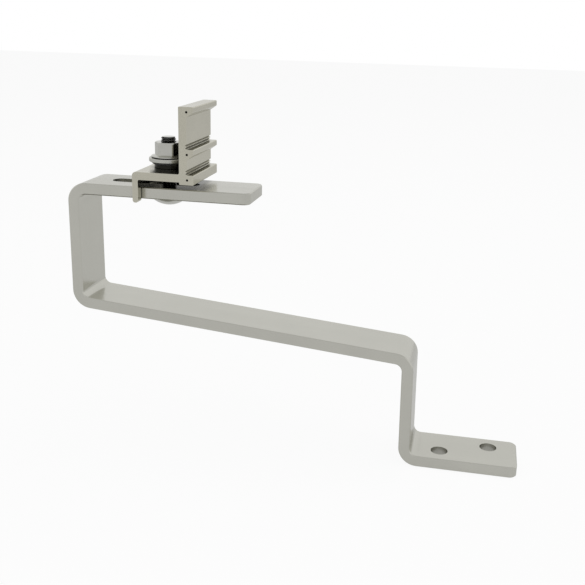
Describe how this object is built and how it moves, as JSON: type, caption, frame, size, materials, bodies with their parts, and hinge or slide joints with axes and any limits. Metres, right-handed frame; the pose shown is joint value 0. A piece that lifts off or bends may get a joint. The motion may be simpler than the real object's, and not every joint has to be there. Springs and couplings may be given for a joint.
{
  "type": "solar roof hook",
  "caption": "Bent flat-bar roof hook with a slotted top arm carrying a bolted, ribbed L-shaped rail bracket for mounting solar panel rails over a tiled roof.",
  "frame": {"origin": "midway between the two foot holes, on the foot's underside, where it lies on the rafter", "axes": "+Z out of the roof along the foot screws, +X along the bar towards the foot's free end, +Y across the bar"},
  "size_m": [0.2426, 0.04, 0.1821],
  "materials": {
    "strap_steel": "satin",
    "bracket_aluminium": "satin",
    "fastener_steel": "polished"
  },
  "bodies": {
    "root": {"hook_strap": "strap_steel", "rail_bracket": "bracket_aluminium", "carriage_bolt": "fastener_steel", "flange_nut": "fastener_steel", "wide_washer": "fastener_steel", "plain_washer": "fastener_steel", "spring_washer": "fastener_steel"}
  },
  "joints": []
}
